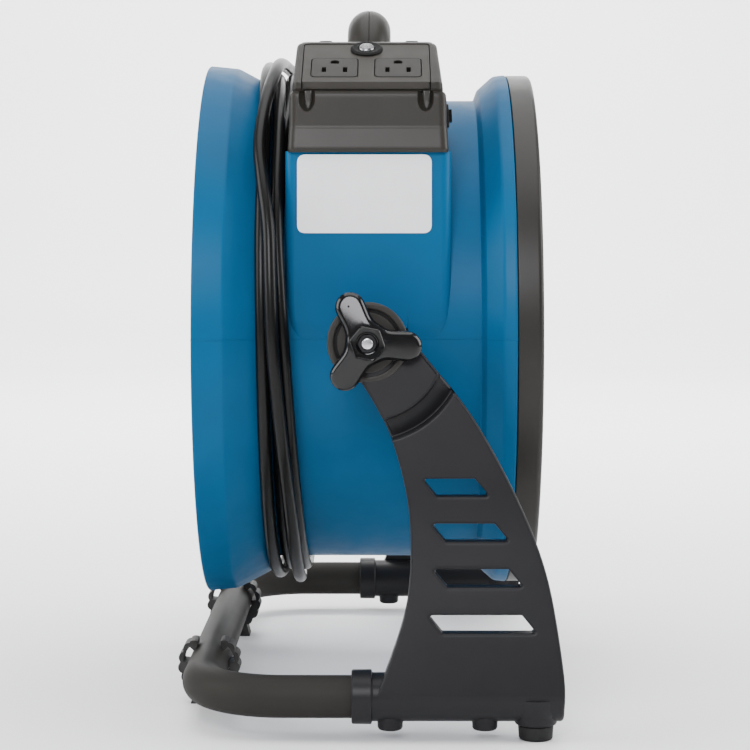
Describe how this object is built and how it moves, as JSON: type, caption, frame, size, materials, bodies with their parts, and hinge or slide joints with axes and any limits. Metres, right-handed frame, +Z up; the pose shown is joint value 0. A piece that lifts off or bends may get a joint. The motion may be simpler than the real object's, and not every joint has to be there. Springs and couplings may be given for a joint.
{
  "type": "axial air mover",
  "caption": "Drum-shaped floor fan that tilts on two side bolts in a tube stand, with a carrying handle, a control box with outlets and a supply cord wound round the drum.",
  "frame": {"origin": "centre of the footprint, on the floor under the feet", "axes": "+X the way the air blows at rest, +Y along the tilt axis, +Z up"},
  "size_m": [0.2261, 0.4602, 0.4265],
  "materials": {
    "housing_blue": "satin",
    "black_plastic": "satin",
    "gloss_black": "gloss",
    "grey_plastic": "satin",
    "painted_steel": "satin",
    "zinc_steel": "satin",
    "rubber": "matte",
    "laminations": "satin",
    "aluminium": "satin",
    "cord_jacket": "satin"
  },
  "bodies": {
    "stand": {"stand_tube": "painted_steel", "near_leg": "black_plastic", "far_leg": "black_plastic", "near_front_foot": "rubber", "far_front_foot": "rubber", "near_rear_tube_screw": "zinc_steel", "far_rear_tube_screw": "zinc_steel", "near_front_tube_screw": "zinc_steel", "far_front_tube_screw": "zinc_steel", "near_rear_foot": "rubber", "far_rear_foot": "rubber"},
    "drum": {"drum_housing": "housing_blue", "front_grille": "black_plastic", "rear_guard": "black_plastic", "motor_front_shell": "aluminium", "motor_rear_shell": "aluminium", "motor_stator": "laminations", "front_bearing": "zinc_steel", "rear_bearing": "zinc_steel", "motor_bracket": "painted_steel", "near_pivot_bolt": "zinc_steel", "far_pivot_bolt": "zinc_steel", "near_friction_washer": "rubber", "far_friction_washer": "rubber", "control_box": "grey_plastic", "control_panel": "grey_plastic", "left_outlet": "black_plastic", "right_outlet": "black_plastic", "breaker_body": "black_plastic", "speed_switch_body": "black_plastic", "run_capacitor": "aluminium", "handle_left_half": "grey_plastic", "handle_right_half": "grey_plastic", "strain_relief": "rubber", "cord_winding": "cord_jacket", "cord_plug": "cord_jacket"},
    "rotor": {"motor_shaft": "zinc_steel", "rotor_core": "laminations", "impeller": "black_plastic", "impeller_nut": "zinc_steel"},
    "near_clamp": {"near_clamp_washer": "zinc_steel"},
    "near_knob": {"near_knob": "gloss_black", "near_knob_nut": "zinc_steel"},
    "far_clamp": {"far_clamp_washer": "zinc_steel"},
    "far_knob": {"far_knob": "gloss_black", "far_knob_nut": "zinc_steel"},
    "breaker_button": {"breaker_button": "zinc_steel"},
    "speed_rocker": {"speed_rocker": "black_plastic"}
  },
  "joints": [
    {"name": "drum_tilt", "type": "hinge", "parent": "stand", "child": "drum", "pos_m": [0.0024, 0, 0.2229], "axis": [0, 1, 0], "continuous": true},
    {"name": "fan_spin", "type": "hinge", "parent": "drum", "child": "rotor", "pos_m": [0.0024, 0, 0.2229], "axis": [1, 0, 0], "continuous": true},
    {"name": "near_clamp_slide", "type": "slide", "parent": "drum", "child": "near_clamp", "axis": [0, -1, 0], "range_m": [0, 0.00254]},
    {"name": "near_knob_turn", "type": "hinge", "parent": "near_clamp", "child": "near_knob", "pos_m": [0.0024, -0.2, 0.2229], "axis": [0, -1, 0], "range_deg": [0, 720]},
    {"name": "far_clamp_slide", "type": "slide", "parent": "drum", "child": "far_clamp", "axis": [0, 1, 0], "range_m": [0, 0.00254]},
    {"name": "far_knob_turn", "type": "hinge", "parent": "far_clamp", "child": "far_knob", "pos_m": [0.0024, 0.2, 0.2229], "axis": [0, 1, 0], "range_deg": [0, 720]},
    {"name": "breaker_press", "type": "slide", "parent": "drum", "child": "breaker_button", "axis": [0, 0.4695, -0.8829], "range_m": [0, 0.0025], "stiffness_N_per_m": 400},
    {"name": "speed_select", "type": "hinge", "parent": "drum", "child": "speed_rocker", "pos_m": [0.04882, -0.118, 0.3559], "axis": [-0.0453, 0, 0.999], "range_deg": [-9, 9]}
  ],
  "couplings": [
    {"joint": "near_clamp_slide", "follows": "near_knob_turn", "m_per_rad": 0.00020213},
    {"joint": "far_clamp_slide", "follows": "far_knob_turn", "m_per_rad": 0.00020213}
  ]
}
